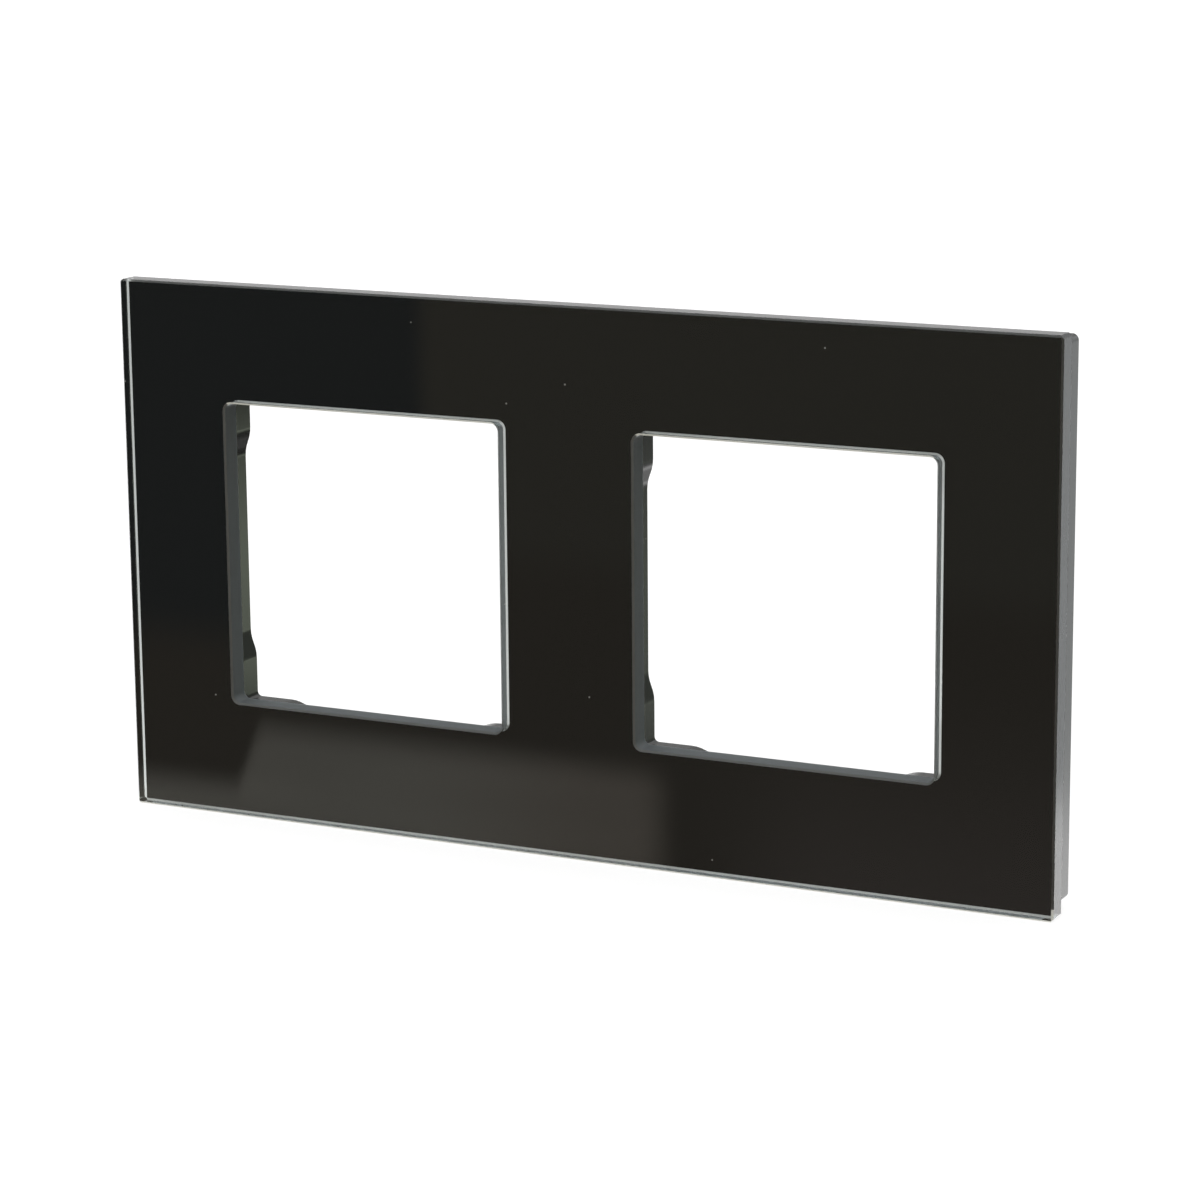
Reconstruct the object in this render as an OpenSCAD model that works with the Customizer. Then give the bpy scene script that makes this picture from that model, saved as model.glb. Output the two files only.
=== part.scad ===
// Two-gang glass cover frame for flush wall switches and sockets.
//
// A clear glass pane with black enamel baked on its back face is held by strips of
// double-sided tape to a moulded carrier, which lies flat on the wall.
//
// Frame: X runs along the row of openings, Y into the wall and Z up.
// The origin is the centre of the carrier's back, so the wall is the plane y = 0
// and the visible face of the glass is at y = -depth.

/* [Openings] */
// Number of openings in the row
gangs = 2; // [2:1:4]
// Distance between the centres of neighbouring openings
pitch = 71; // [68:0.5:80]
// Width and height of each opening in the glass, wall to wall
opening = 48.2; // [44:0.1:50]
// Corner radius of each opening in the glass
opening_r = 1.2; // [0.8:0.1:4]
// Width of the border between an opening and the edge of the glass
border = 18.7; // [17:0.1:26]

/* [Glass] */
// Thickness of the glass
glass_t = 3.8; // [3:0.1:5]
// Size of the ground bevel along every edge of the glass, front and back
arris = 0.3; // [0.2:0.05:0.6]
// Size of the flat ground on each outer corner of the glass
corner_nip = 0.5; // [0.2:0.1:1.5]
// Thickness of the enamel on the back of the glass
enamel_t = 0.1; // [0.05:0.01:0.2]

/* [Carrier] */
// Depth of the whole frame, from the wall to the front of the glass
depth = 9.4; // [8.5:0.1:14]
// Distance from the edge of the glass in to the outside of the carrier
carrier_inset = 1; // [0.6:0.1:2]
// Outer corner radius of the carrier
carrier_r = 1; // [0.5:0.1:3]
// Thickness of the carrier's front plate
plate_t = 1.6; // [1.3:0.1:2]
// Thickness of the carrier's rim and of the collars around its openings
wall_t = 1.6; // [1.2:0.1:2]
// Distance from the glass opening out to the ears in the carrier's corners
ear_inset = 1.1; // [0.6:0.1:1.4]
// Distance from the glass opening out to the sides between the ears
side_inset = 2.1; // [1.8:0.1:2.6]
// Length of each ear, from the wall of the glass opening to where the curve starts
ear_l = 5.2; // [4:0.1:8]
// Length of the curve between an ear and the side
curve_l = 4.8; // [2.6:0.1:6]

/* [Ribs] */
// Thickness of the ribs behind the front plate
rib_t = 1; // [0.8:0.1:1.4]
// Distance from the wall to the ribs
rib_gap = 0.4; // [0:0.1:1]
// Ribs on each side of an opening's middle, the last in line with the ears
side_ribs = 2; // [2:1:3]

/* [Tape] */
// Width of the tape strips
tape_w = 8; // [6:0.5:9]
// Thickness of the tape strips
tape_t = 0.6; // [0.4:0.1:0.8]
// Clearance around the tape in its pocket
tape_gap = 0.3; // [0.1:0.1:0.5]
// Distance between the upright strips and the strips above and below them
tape_break = 2; // [1:0.5:4]

/* [Hidden] */
$fn = 64;
// Overlap that makes neighbouring solids of one piece fuse, and cuts break through
eps = 0.01;
// Corner radius inside the carrier's openings
ear_r = 0.8;

glass_w = (gangs - 1) * pitch + opening + 2 * border;
glass_h = opening + 2 * border;
opening_x = [for (i = [0 : gangs - 1]) (i - (gangs - 1) / 2) * pitch];
mullion_x = [for (i = [0 : gangs - 2]) (i + 1 - gangs / 2) * pitch];

// Stations along Y, from front to back
glass_front = -depth;
glass_back = glass_front + glass_t;
plate_front = glass_back + enamel_t;
plate_back = plate_front + plate_t;
rib_back = -rib_gap;

// The tape lies along the middle of the border and of the bars between openings
tape_x = glass_w / 2 - border / 2;
tape_z = glass_h / 2 - border / 2;
tape_long = 2 * tape_x + tape_w;
tape_short = 2 * (tape_z - tape_w / 2 - tape_break);

rib_step = (opening / 2 + ear_inset) / side_ribs;

// ---- Shared outlines, drawn in the XZ plane ----

// Stands an outline up and gives it thickness from y = front to y = back.
module slab(front, back) {
    translate([0, back, 0])
        rotate([90, 0, 0])
            linear_extrude(back - front)
                children();
}

// Rectangle of size w by h on the origin, with corners of radius r.
module rounded_rect(w, h, r) {
    square([w - 2 * r, h], center = true);
    square([w, h - 2 * r], center = true);
    for (sx = [-1, 1], sz = [-1, 1])
        translate([sx * (w / 2 - r), sz * (h / 2 - r)])
            circle(r);
}

// Rectangle of size w by h on the origin, with corners cut off by c.
module nipped_rect(w, h, c) {
    x = w / 2;
    z = h / 2;
    polygon([
        [-x + c, -z], [x - c, -z], [x, -z + c], [x, z - c],
        [x - c, z], [-x + c, z], [-x, z - c], [-x, -z + c]
    ]);
}

// Repeats its children at the centre of each opening.
module at_openings() {
    for (x = opening_x)
        translate([x, 0, 0])
            children();
}

// ---- Glass ----

// Section across the pane, w wide, with the ground bevel on its four corners.
module pane_section(w) {
    polygon([
        [-w / 2 + arris, glass_front], [w / 2 - arris, glass_front],
        [w / 2, glass_front + arris], [w / 2, glass_back - arris],
        [w / 2 - arris, glass_back], [-w / 2 + arris, glass_back],
        [-w / 2, glass_back - arris], [-w / 2, glass_front + arris]
    ]);
}

// The pane before its openings are cut.
module pane_blank() {
    intersection() {
        translate([0, 0, -glass_h / 2])
            linear_extrude(glass_h)
                pane_section(glass_w);
        rotate([0, -90, 0])
            translate([0, 0, -glass_w / 2])
                linear_extrude(glass_w)
                    pane_section(glass_h);
        slab(glass_front, glass_back)
            nipped_rect(glass_w, glass_h, corner_nip);
    }
}

// One side of the bevel around an opening's mouth: a prism along X that widens
// towards the face of the glass, which is at y = 0 with the glass behind it.
module mouth_side() {
    half = opening / 2;
    straight = half - opening_r;
    translate([-straight, 0, 0])
        rotate([90, 0, 90])
            linear_extrude(2 * straight)
                polygon([
                    [-eps, -half - arris - eps], [-eps, half + arris + eps],
                    [arris, half], [arris, -half]
                ]);
}

// The whole bevel around an opening's mouth, with a cone in each corner.
module mouth() {
    centre = opening / 2 - opening_r;
    mouth_side();
    rotate([0, 90, 0])
        mouth_side();
    for (sx = [-1, 1], sz = [-1, 1])
        translate([sx * centre, -eps, sz * centre])
            rotate([-90, 0, 0])
                cylinder(h = arris + eps, r1 = opening_r + arris + eps, r2 = opening_r);
}

module glass_pane() {
    color([0.75, 0.82, 0.80, 0.4])
        difference() {
            pane_blank();
            at_openings()
                slab(glass_front - 1, glass_back + 1)
                    rounded_rect(opening, opening, opening_r);
            at_openings()
                translate([0, glass_front, 0])
                    mouth();
            at_openings()
                translate([0, glass_back, 0])
                    mirror([0, 1, 0])
                        mouth();
        }
}

// The enamel covers the flat of the back face and stops at the ground bevel.
module black_enamel() {
    color([0.02, 0.02, 0.02])
        slab(glass_back, plate_front)
            difference() {
                nipped_rect(glass_w - 2 * arris, glass_h - 2 * arris, corner_nip);
                at_openings()
                    rounded_rect(opening + 2 * arris, opening + 2 * arris, opening_r + arris);
            }
}

// ---- Tape ----

// Strip of tape w by h, centred at x, z, with its face on the enamel.
module tape_strip(x, z, w, h, grow = 0) {
    slab(plate_front - grow, plate_front + tape_t)
        translate([x, z])
            square([w + 2 * grow, h + 2 * grow], center = true);
}

module tape_top(grow = 0) {
    color([0.10, 0.10, 0.10])
        tape_strip(0, tape_z, tape_long, tape_w, grow);
}

module tape_bottom(grow = 0) {
    color([0.10, 0.10, 0.10])
        tape_strip(0, -tape_z, tape_long, tape_w, grow);
}

module tape_left(grow = 0) {
    color([0.10, 0.10, 0.10])
        tape_strip(-tape_x, 0, tape_w, tape_short, grow);
}

module tape_centre(grow = 0) {
    color([0.10, 0.10, 0.10])
        for (x = mullion_x)
            tape_strip(x, 0, tape_w, tape_short, grow);
}

module tape_right(grow = 0) {
    color([0.10, 0.10, 0.10])
        tape_strip(tape_x, 0, tape_w, tape_short, grow);
}

// ---- Carrier ----

// Outside of the carrier, moved in by cut.
module carrier_outline(cut = 0) {
    w = glass_w - 2 * (carrier_inset + cut);
    h = glass_h - 2 * (carrier_inset + cut);
    rounded_rect(w, h, max(carrier_r - cut, eps));
}

// Hollow side between two ears, from x = ear out to the side. It ends in two equal
// arcs, tangent to each other, to the ear and to the side. It also reaches inside by
// a little, so that it fuses with the square between the ears.
module side_hollow(ear) {
    rise = side_inset - ear_inset;
    bend = (rise * rise + curve_l * curve_l) / (4 * rise);
    side = ear + rise;
    start = opening / 2 - ear_l;
    end = start - curve_l;
    half = (start + end) / 2;
    inside = 2;
    translate([ear - inside, -end])
        square([rise + inside, 2 * end]);
    for (s = [0, 1])
        mirror([0, s])
            union() {
                intersection() {
                    translate([side - bend, end])
                        circle(bend);
                    translate([ear - inside, end - eps])
                        square([rise + inside, half - end + eps]);
                }
                difference() {
                    translate([ear - inside, half - eps])
                        square([inside + rise / 2, start - half + eps]);
                    translate([ear + bend, start])
                        circle(bend);
                }
            }
}

// Opening of the carrier, grown outward by grow: a square between the ears, with a
// hollow along each side.
module carrier_opening(grow = 0) {
    ear = opening / 2 + ear_inset + grow;
    rounded_rect(2 * ear, 2 * ear, ear_r + grow);
    for (turn = [0 : 90 : 270])
        rotate(turn)
            side_hollow(ear);
}

// Ribs across the borders and the mullions.
module rib_lines() {
    for (k = [-side_ribs : side_ribs]) {
        for (x = opening_x)
            translate([x + k * rib_step, 0])
                square([rib_t, glass_h], center = true);
        translate([0, k * rib_step])
            square([glass_w, rib_t], center = true);
    }
}

// Bar up the middle of each mullion, as deep as the rim.
module mullion_bars() {
    for (x = mullion_x)
        slab(plate_back - eps, 0)
            translate([x, 0])
                square([wall_t, glass_h - 2 * carrier_inset - wall_t], center = true);
}

// Outline left for the ribs between the rim and the collars.
module rib_field() {
    difference() {
        carrier_outline(wall_t / 2);
        at_openings()
            carrier_opening(wall_t / 2);
    }
}

module carrier() {
    color([0.16, 0.17, 0.17])
        difference() {
            union() {
                slab(plate_front, plate_back)
                    difference() {
                        carrier_outline();
                        at_openings()
                            carrier_opening();
                    }
                slab(plate_front, 0)
                    difference() {
                        carrier_outline();
                        carrier_outline(wall_t);
                    }
                at_openings()
                    slab(plate_front, 0)
                        difference() {
                            carrier_opening(wall_t);
                            carrier_opening();
                        }
                slab(plate_back - eps, rib_back)
                    intersection() {
                        rib_lines();
                        rib_field();
                    }
                mullion_bars();
            }
            tape_top(tape_gap);
            tape_bottom(tape_gap);
            tape_left(tape_gap);
            tape_centre(tape_gap);
            tape_right(tape_gap);
        }
}

glass_pane();
black_enamel();
tape_top();
tape_bottom();
tape_left();
tape_centre();
tape_right();
carrier();
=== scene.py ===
import math

import bmesh
import bpy
from mathutils import Matrix, Vector


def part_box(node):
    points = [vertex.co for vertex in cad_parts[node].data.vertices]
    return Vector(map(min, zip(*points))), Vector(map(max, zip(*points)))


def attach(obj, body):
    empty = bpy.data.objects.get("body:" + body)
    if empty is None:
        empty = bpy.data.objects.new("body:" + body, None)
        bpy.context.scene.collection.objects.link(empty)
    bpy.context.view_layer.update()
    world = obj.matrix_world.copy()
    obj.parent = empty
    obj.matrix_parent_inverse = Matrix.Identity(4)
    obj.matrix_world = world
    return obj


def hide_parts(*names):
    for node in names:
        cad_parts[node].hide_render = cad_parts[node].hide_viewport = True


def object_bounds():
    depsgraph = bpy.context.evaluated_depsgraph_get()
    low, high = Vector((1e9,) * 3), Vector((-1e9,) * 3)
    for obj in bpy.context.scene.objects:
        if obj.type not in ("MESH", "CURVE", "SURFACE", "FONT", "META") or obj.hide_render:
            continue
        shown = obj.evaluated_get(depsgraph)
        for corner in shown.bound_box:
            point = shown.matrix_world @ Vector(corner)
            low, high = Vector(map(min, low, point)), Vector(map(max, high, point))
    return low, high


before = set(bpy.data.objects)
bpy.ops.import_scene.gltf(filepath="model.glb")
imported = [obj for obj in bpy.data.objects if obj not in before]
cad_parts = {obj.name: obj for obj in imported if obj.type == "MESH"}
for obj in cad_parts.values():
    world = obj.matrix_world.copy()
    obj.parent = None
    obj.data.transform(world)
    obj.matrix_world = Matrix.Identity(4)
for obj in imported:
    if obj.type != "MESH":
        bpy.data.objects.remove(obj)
cad_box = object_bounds()

MM = 0.001

# ---------------------------------------------------------------- shader graphs


class Graph:
    """Short names for the shader nodes the materials and the surroundings are made of."""

    def __init__(self, tree):
        self.tree = tree
        tree.nodes.clear()

    def add(self, kind):
        return self.tree.nodes.new("ShaderNode" + kind)

    def node(self, kind, **inputs):
        made = self.add(kind)
        for name, value in inputs.items():
            self.feed(made.inputs[name.replace("_", " ")], value)
        return made

    def feed(self, socket, value):
        if isinstance(value, bpy.types.NodeSocket):
            self.tree.links.new(value, socket)
        else:
            socket.default_value = value

    def finish(self, output, shader):
        self.tree.links.new(shader.outputs[0], self.add(output).inputs[0])

    def math(self, operation, *values, clamp=False):
        made = self.add("Math")
        made.operation = operation
        made.use_clamp = clamp
        for socket, value in zip(made.inputs, values):
            self.feed(socket, value)
        return made.outputs[0]

    def step(self, value, start, end, low=0.0, high=1.0):
        """low before start, high after end, and a smooth change between them."""
        made = self.add("MapRange")
        made.interpolation_type = "SMOOTHSTEP"
        numbers = (value, start, end, low, high)
        if start > end:
            numbers = (value, end, start, high, low)
        for socket, number in zip(made.inputs, numbers):
            self.feed(socket, number)
        return made.outputs[0]

    def mix(self, share, a, b):
        """Colour a where share is 0 and b where it is 1."""
        made = self.add("Mix")
        made.data_type = "RGBA"
        self.feed(made.inputs[0], share)
        self.feed(made.inputs[6], a)
        self.feed(made.inputs[7], b)
        return made.outputs[2]

    def blend(self, share, a, b):
        """Number a where share is 0 and b where it is 1."""
        made = self.add("Mix")
        self.feed(made.inputs[0], share)
        self.feed(made.inputs[2], a)
        self.feed(made.inputs[3], b)
        return made.outputs[0]

    def place(self):
        return self.add("TexCoord").outputs["Object"]

    def axes(self, vector):
        split = self.add("SeparateXYZ")
        self.feed(split.inputs[0], vector)
        return split.outputs[0], split.outputs[1], split.outputs[2]

    def noise(self, per_metre, detail=2.0, roughness=0.5, where=None):
        made = self.add("TexNoise")
        self.feed(made.inputs["Vector"], where or self.place())
        made.inputs["Scale"].default_value = per_metre
        made.inputs["Detail"].default_value = detail
        made.inputs["Roughness"].default_value = roughness
        return made.outputs[0]

    def specks(self, per_metre, radius):
        """1 in small round spots, one for each lattice point close to the surface."""
        made = self.add("TexVoronoi")
        self.feed(made.inputs["Vector"], self.place())
        made.inputs["Scale"].default_value = per_metre
        reach = radius * per_metre
        return self.step(made.outputs["Distance"], reach, reach / 2)

    def bump(self, height, depth):
        """depth is how deep the relief is, in metres, where height goes from 0 to 1."""
        made = self.add("Bump")
        made.inputs["Strength"].default_value = 1.0
        made.inputs["Distance"].default_value = depth
        self.feed(made.inputs["Height"], height)
        return made.outputs[0]


def rgb(red, green, blue):
    return (red, green, blue, 1.0)


def grey(level):
    return rgb(level, level, level)


def new_material(name):
    material = bpy.data.materials.new(name)
    material.use_nodes = True
    return material, Graph(material.node_tree)


# ---------------------------------------------------------------- materials


def glass_zones(g):
    """Masks for the pane's back, its edges, and the kinds of edge it has."""
    lo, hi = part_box("glass_pane")
    rim = 2 * MM
    x, y, z = g.axes(g.place())
    true_normal = g.add("NewGeometry").outputs["True Normal"]
    _, facing, upright = [g.math("ABSOLUTE", part) for part in g.axes(true_normal)]

    flat = g.math("GREATER_THAN", facing, 0.95)
    side = g.math("LESS_THAN", facing, 0.3)
    rear = g.math("GREATER_THAN", y, (lo.y + hi.y) / 2)
    beyond_x = g.math("GREATER_THAN", g.math("ABSOLUTE", x), hi.x - rim)
    above = g.math("GREATER_THAN", z, hi.z - rim)
    below = g.math("LESS_THAN", z, lo.z + rim)
    outer = g.math("ADD", beyond_x, g.math("ADD", above, below), clamp=True)

    edge = g.math("SUBTRACT", 1.0, flat)
    shiny = g.math("MULTIPLY", side, g.math("ADD", beyond_x, above, clamp=True))
    ground = g.math("SUBTRACT", edge, shiny)
    upper_half = g.math("GREATER_THAN", z, 0.0)
    ceiling = g.math("MULTIPLY", upper_half, g.math("GREATER_THAN", upright, 0.6))
    ceiling = g.math("SUBTRACT", ceiling, outer, clamp=True)
    return {
        "back": g.math("MULTIPLY", flat, rear),
        "rear": rear,
        "edge": edge,
        "outer": outer,
        "shiny": shiny,
        "ground": ground,
        "wall": g.math("SUBTRACT", side, shiny),
        "under": g.math("MULTIPLY", ground, g.math("ADD", ceiling, below)),
    }


def glass_material():
    """Polished face and outer edges, ground mouths and bevels, and black enamel behind,
    with painted light making the downward ground faces whiter.
    """
    material, g = new_material("clear_glass")
    zone = glass_zones(g)
    back, wall, under = zone["back"], zone["wall"], zone["under"]
    dust = g.math("MULTIPLY", g.specks(170, 0.15 * MM), g.math("SUBTRACT", 1.0, back))

    smudge = g.step(g.noise(55, detail=3.0), 0.45, 0.75)
    polished = g.blend(smudge, 0.01, 0.025)
    rough = g.blend(wall, 0.4, g.blend(under, 0.65, 0.95))
    rough_edge = g.blend(zone["shiny"], rough, 0.1)

    bevel_milk = g.blend(zone["outer"], 0.12, 0.07)
    # Painted light: the downward-facing ground faces, the front half most, get a far whiter
    # diffuse share than the walls and bevels. This is partly their frosted finish and
    # partly painted brightening.
    under_milk_and_painted_light = g.blend(zone["rear"], 0.85, 0.2)
    milky_and_painted_light = g.blend(under, g.blend(wall, bevel_milk, 0.13), under_milk_and_painted_light)
    milky_and_painted_light = g.math("MULTIPLY", zone["ground"], milky_and_painted_light)
    clear = g.math("SUBTRACT", 1.0, g.math("ADD", back, milky_and_painted_light))

    tint = g.mix(wall, rgb(0.94, 0.985, 0.96), rgb(0.84, 0.95, 1.0))
    shader = g.node(
        "BsdfPrincipled",
        Base_Color=g.mix(dust, g.mix(back, tint, grey(0.001)), grey(0.3)),
        Roughness=g.blend(dust, g.blend(zone["edge"], polished, rough_edge), 0.8),
        Transmission_Weight=g.blend(dust, clear, 0.0),
        Specular_IOR_Level=g.blend(back, 0.5, 0.0),
    )
    shader.inputs["IOR"].default_value = 1.51
    g.finish("OutputMaterial", shader)
    return material


def enamel_material():
    """Screen-printed black enamel, seen bare from behind."""
    material, g = new_material("back_enamel")
    mottle = g.noise(900, detail=3.0)
    shader = g.node(
        "BsdfPrincipled",
        Base_Color=g.mix(mottle, grey(0.006), grey(0.014)),
        Roughness=g.blend(mottle, 0.38, 0.5),
        Normal=g.bump(g.noise(4200, detail=2.0), 0.008 * MM),
    )
    g.finish("OutputMaterial", shader)
    return material


def tape_material():
    """Closed-cell foam mounting tape."""
    material, g = new_material("adhesive_tape")
    cells = g.noise(6500, detail=2.0)
    shader = g.node(
        "BsdfPrincipled",
        Base_Color=g.mix(cells, grey(0.03), grey(0.055)),
        Roughness=g.blend(cells, 0.7, 0.85),
        Normal=g.bump(cells, 0.05 * MM),
    )
    g.finish("OutputMaterial", shader)
    return material


def plastic_material():
    """Dark grey moulded plastic with a fine spark-eroded grain and a little dust."""
    material, g = new_material("dark_plastic")
    grain = g.noise(5200, detail=3.0, roughness=0.6)
    cloud = g.noise(70, detail=3.0)
    resin = g.mix(cloud, rgb(0.03, 0.033, 0.031), rgb(0.038, 0.041, 0.037))
    dust = g.specks(230, 0.13 * MM)
    shader = g.node(
        "BsdfPrincipled",
        Base_Color=g.mix(dust, resin, grey(0.35)),
        Roughness=g.blend(dust, g.blend(grain, 0.1, 0.19), 0.8),
        Normal=g.bump(grain, 0.0015 * MM),
    )
    g.finish("OutputMaterial", shader)
    return material


def floor_material():
    """White that glows by itself, so that the floor is as pale as the backdrop."""
    material, g = new_material("floor_white")
    shader = g.node("BsdfPrincipled", Base_Color=grey(0.3), Roughness=0.8)
    shader.inputs["Emission Color"].default_value = grey(1.0)
    shader.inputs["Emission Strength"].default_value = 0.85
    g.finish("OutputMaterial", shader)
    return material


# ---------------------------------------------------------------- object


def dress_cad_nodes():
    """Enamel and tape keep the CAD's own shapes; the pane and the carrier are replaced."""
    enamel, tape = enamel_material(), tape_material()
    for name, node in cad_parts.items():
        if name in ("glass_pane", "carrier"):
            continue
        for slot in node.material_slots:
            slot.material = enamel if name == "black_enamel" else tape


def join_flats(mesh):
    """Joins the triangles of each flat face into one, and marks the real edges sharp."""
    same_point = 0.002 * MM
    edit = bmesh.new()
    edit.from_mesh(mesh)
    bmesh.ops.remove_doubles(edit, verts=edit.verts, dist=same_point)
    bmesh.ops.dissolve_limit(
        edit, angle_limit=math.radians(1), verts=edit.verts, edges=edit.edges
    )
    for face in edit.faces:
        face.smooth = True
    edit.to_mesh(mesh)
    edit.free()
    for layer in ("custom_normal", "sharp_edge", "sharp_face"):
        if layer in mesh.attributes:
            mesh.attributes.remove(mesh.attributes[layer])
    mesh.set_sharp_from_angle(angle=math.radians(30))


def clean_piece(name, piece_name, material):
    """A piece in place of the CAD node, with the node's own shape and cleaner faces."""
    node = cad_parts[name]
    mesh = node.data.copy()
    mesh.name = piece_name
    mesh.materials.clear()
    mesh.materials.append(material)
    join_flats(mesh)
    piece = bpy.data.objects.new(piece_name, mesh)
    bpy.context.scene.collection.objects.link(piece)
    piece.matrix_world = node.matrix_world.copy()
    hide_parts(name)
    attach(piece, "root")
    return piece


def keep_flats_flat(piece):
    """Shades each large face as flat, so that only the small ones beside it look curved."""
    even = piece.modifiers.new("even", "WEIGHTED_NORMAL")
    even.keep_sharp = True


def polished_pane():
    """The glass, with its back just in front of the enamel, so that they share no plane."""
    gap = 0.02 * MM
    piece = clean_piece("glass_pane", "pane_polished", glass_material())
    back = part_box("glass_pane")[1].y
    for vertex in piece.data.vertices:
        if back - vertex.co.y < gap / 2:
            vertex.co.y -= gap
    keep_flats_flat(piece)


def moulded_carrier():
    """The carrier with the small radii a moulding has along every edge."""
    piece = clean_piece("carrier", "carrier_moulded", plastic_material())
    radius = piece.modifiers.new("radius", "BEVEL")
    radius.width = 0.25 * MM
    radius.segments = 3
    radius.limit_method = "ANGLE"
    radius.angle_limit = math.radians(40)
    keep_flats_flat(piece)


# ---------------------------------------------------------------- studio


def make_floor():
    """A floor that only the camera sees, so that it throws no light on the object."""
    bpy.ops.mesh.primitive_plane_add(size=6.0, location=(0, 0, cad_box[0].z))
    floor = bpy.context.object
    floor.name = "floor"
    floor.data.materials.append(floor_material())
    for rays in ("glossy", "transmission", "diffuse"):
        setattr(floor, "visible_" + rays, False)


def make_world():
    """What the object mirrors: a dim room in front, a pale backdrop behind, a light above.

    across and up say how far a direction goes sideways and up for each metre of depth.
    """
    least_depth = 0.05
    world = bpy.data.worlds.new("studio")
    bpy.context.scene.world = world
    world.use_nodes = True
    g = Graph(world.node_tree)
    x, y, z = g.axes(g.add("TexCoord").outputs["Generated"])
    depth = g.math("MAXIMUM", g.math("ABSOLUTE", y), least_depth)
    across = g.math("DIVIDE", x, depth)
    up = g.math("DIVIDE", z, depth)
    front, behind = front_light(g, across, up), back_light(g, across, up)
    light = g.mix(g.step(y, -0.1, 0.1), front, behind)
    light = g.mix(g.step(z, 0.35, 0.7), light, grey(0.95))

    seen = g.add("LightPath").outputs["Is Camera Ray"]
    background = g.node("Background", Color=g.mix(seen, light, grey(1.0)))
    g.finish("OutputWorld", background)


def front_light(g, across, up):
    """The room that the face mirrors: two dim walls, a floor, and a pale sheet on it."""
    far_wall, near_wall = rgb(0.22, 0.238, 0.235), rgb(0.385, 0.37, 0.31)
    ground, ground_near = rgb(0.345, 0.315, 0.262), rgb(0.56, 0.5, 0.45)
    sheet_far, sheet_near = rgb(1.18, 1.14, 1.0), rgb(1.0, 0.9, 0.77)
    # Each border runs from where its change begins to where it ends
    corner, skirting = (-0.55, -0.56), (-0.225, -0.247)
    lit_front, lit_side = (-0.25, -0.36), (-0.47, -0.41)
    sheet_right, sheet_left = (-0.466, -0.482), (-0.615, -0.628)
    sheet_back, sheet_middle = (-0.293, -0.307), (-0.58, -0.48)
    far_rise, sheet_rise = 0.035, 0.021

    beside = g.step(across, *corner)
    walls = g.mix(beside, near_wall, far_wall)
    lit = g.math("MULTIPLY", g.step(up, *lit_front), g.step(across, *lit_side))
    floor = g.mix(lit, ground, ground_near)
    horizon = g.math("ADD", up, g.math("MULTIPLY", beside, far_rise))
    room = g.mix(g.step(horizon, *skirting), walls, floor)

    sheet_end = g.step(across, *sheet_left)
    sheet_top = g.math("ADD", up, g.math("MULTIPLY", sheet_end, sheet_rise))
    sheet = g.math("MULTIPLY", g.step(across, *sheet_right), g.step(sheet_top, *sheet_back))
    pale = g.mix(g.step(across, *sheet_middle), sheet_far, sheet_near)
    wide, fine = g.math("MULTIPLY", across, 14.0), g.math("MULTIPLY", up, 110.0)
    streaks = g.noise(1.0, where=g.node("CombineXYZ", X=wide, Y=fine).outputs[0])
    uneven = g.step(streaks, 0.3, 0.7, 0.0, 0.14)
    return g.mix(sheet, room, g.mix(uneven, pale, room))


def back_light(g, across, up):
    """The backdrop: bright to the right, ending there, with a lighter table below it."""
    bright = rgb(1.08, 1.11, 1.12)
    window_frame, window_pane = rgb(0.17, 0.185, 0.155), rgb(1.35, 1.51, 1.19)
    # Each border runs from where its change begins to where it ends
    right_part, backdrop_end, left_part = (0.1, 0.22), (0.37, 0.4), (-0.2, -0.4)
    left_top, table_back, table_front = (0.17, 0.28), (-0.288, -0.3), (-0.36, -0.44)
    window_left, window_top, window_foot = (0.455, 0.56), (-0.212, -0.232), (-0.235, -0.33)

    left = g.mix(g.step(up, *left_top), grey(0.78), grey(0.42))
    backdrop = g.mix(g.step(across, *right_part), grey(0.5), bright)
    backdrop = g.mix(g.step(across, *left_part), backdrop, left)
    window = g.mix(g.step(up, *window_top), window_frame, window_pane)
    room = g.mix(g.step(across, *window_left), grey(0.12), window)
    room = g.mix(g.step(up, *window_foot), room, grey(0.05))
    backdrop = g.mix(g.step(across, *backdrop_end), backdrop, room)
    table = g.mix(g.step(up, *table_front), grey(2.2), grey(0.55))
    table = g.mix(g.step(across, *right_part), grey(1.4), table)
    table = g.mix(g.step(across, *backdrop_end), table, room)
    return g.mix(g.step(up, *table_back), backdrop, table)


def make_camera():
    """Right of the object and above it, looking slightly past its centre."""
    azimuth, elevation, roll = (math.radians(a) for a in (26.28, 12.471, -0.482))
    target, distance = Vector((0.00578, -0.0094, -0.00149)), 0.5601
    data = bpy.data.cameras.new("camera")
    data.sensor_width = 36.0
    data.lens = 111.657
    data.clip_start, data.clip_end = 0.01, 50.0
    camera = bpy.data.objects.new("camera", data)
    bpy.context.scene.collection.objects.link(camera)
    back = Vector(
        (
            math.sin(azimuth) * math.cos(elevation),
            -math.cos(azimuth) * math.cos(elevation),
            math.sin(elevation),
        )
    )
    turn = (-back).to_track_quat("-Z", "Y").to_matrix() @ Matrix.Rotation(roll, 3, "Z")
    camera.matrix_world = Matrix.Translation(target + back * distance) @ turn.to_4x4()
    bpy.context.scene.camera = camera


dress_cad_nodes()
polished_pane()
moulded_carrier()
make_floor()
make_world()
make_camera()
bpy.context.scene.view_settings.view_transform = "Standard"
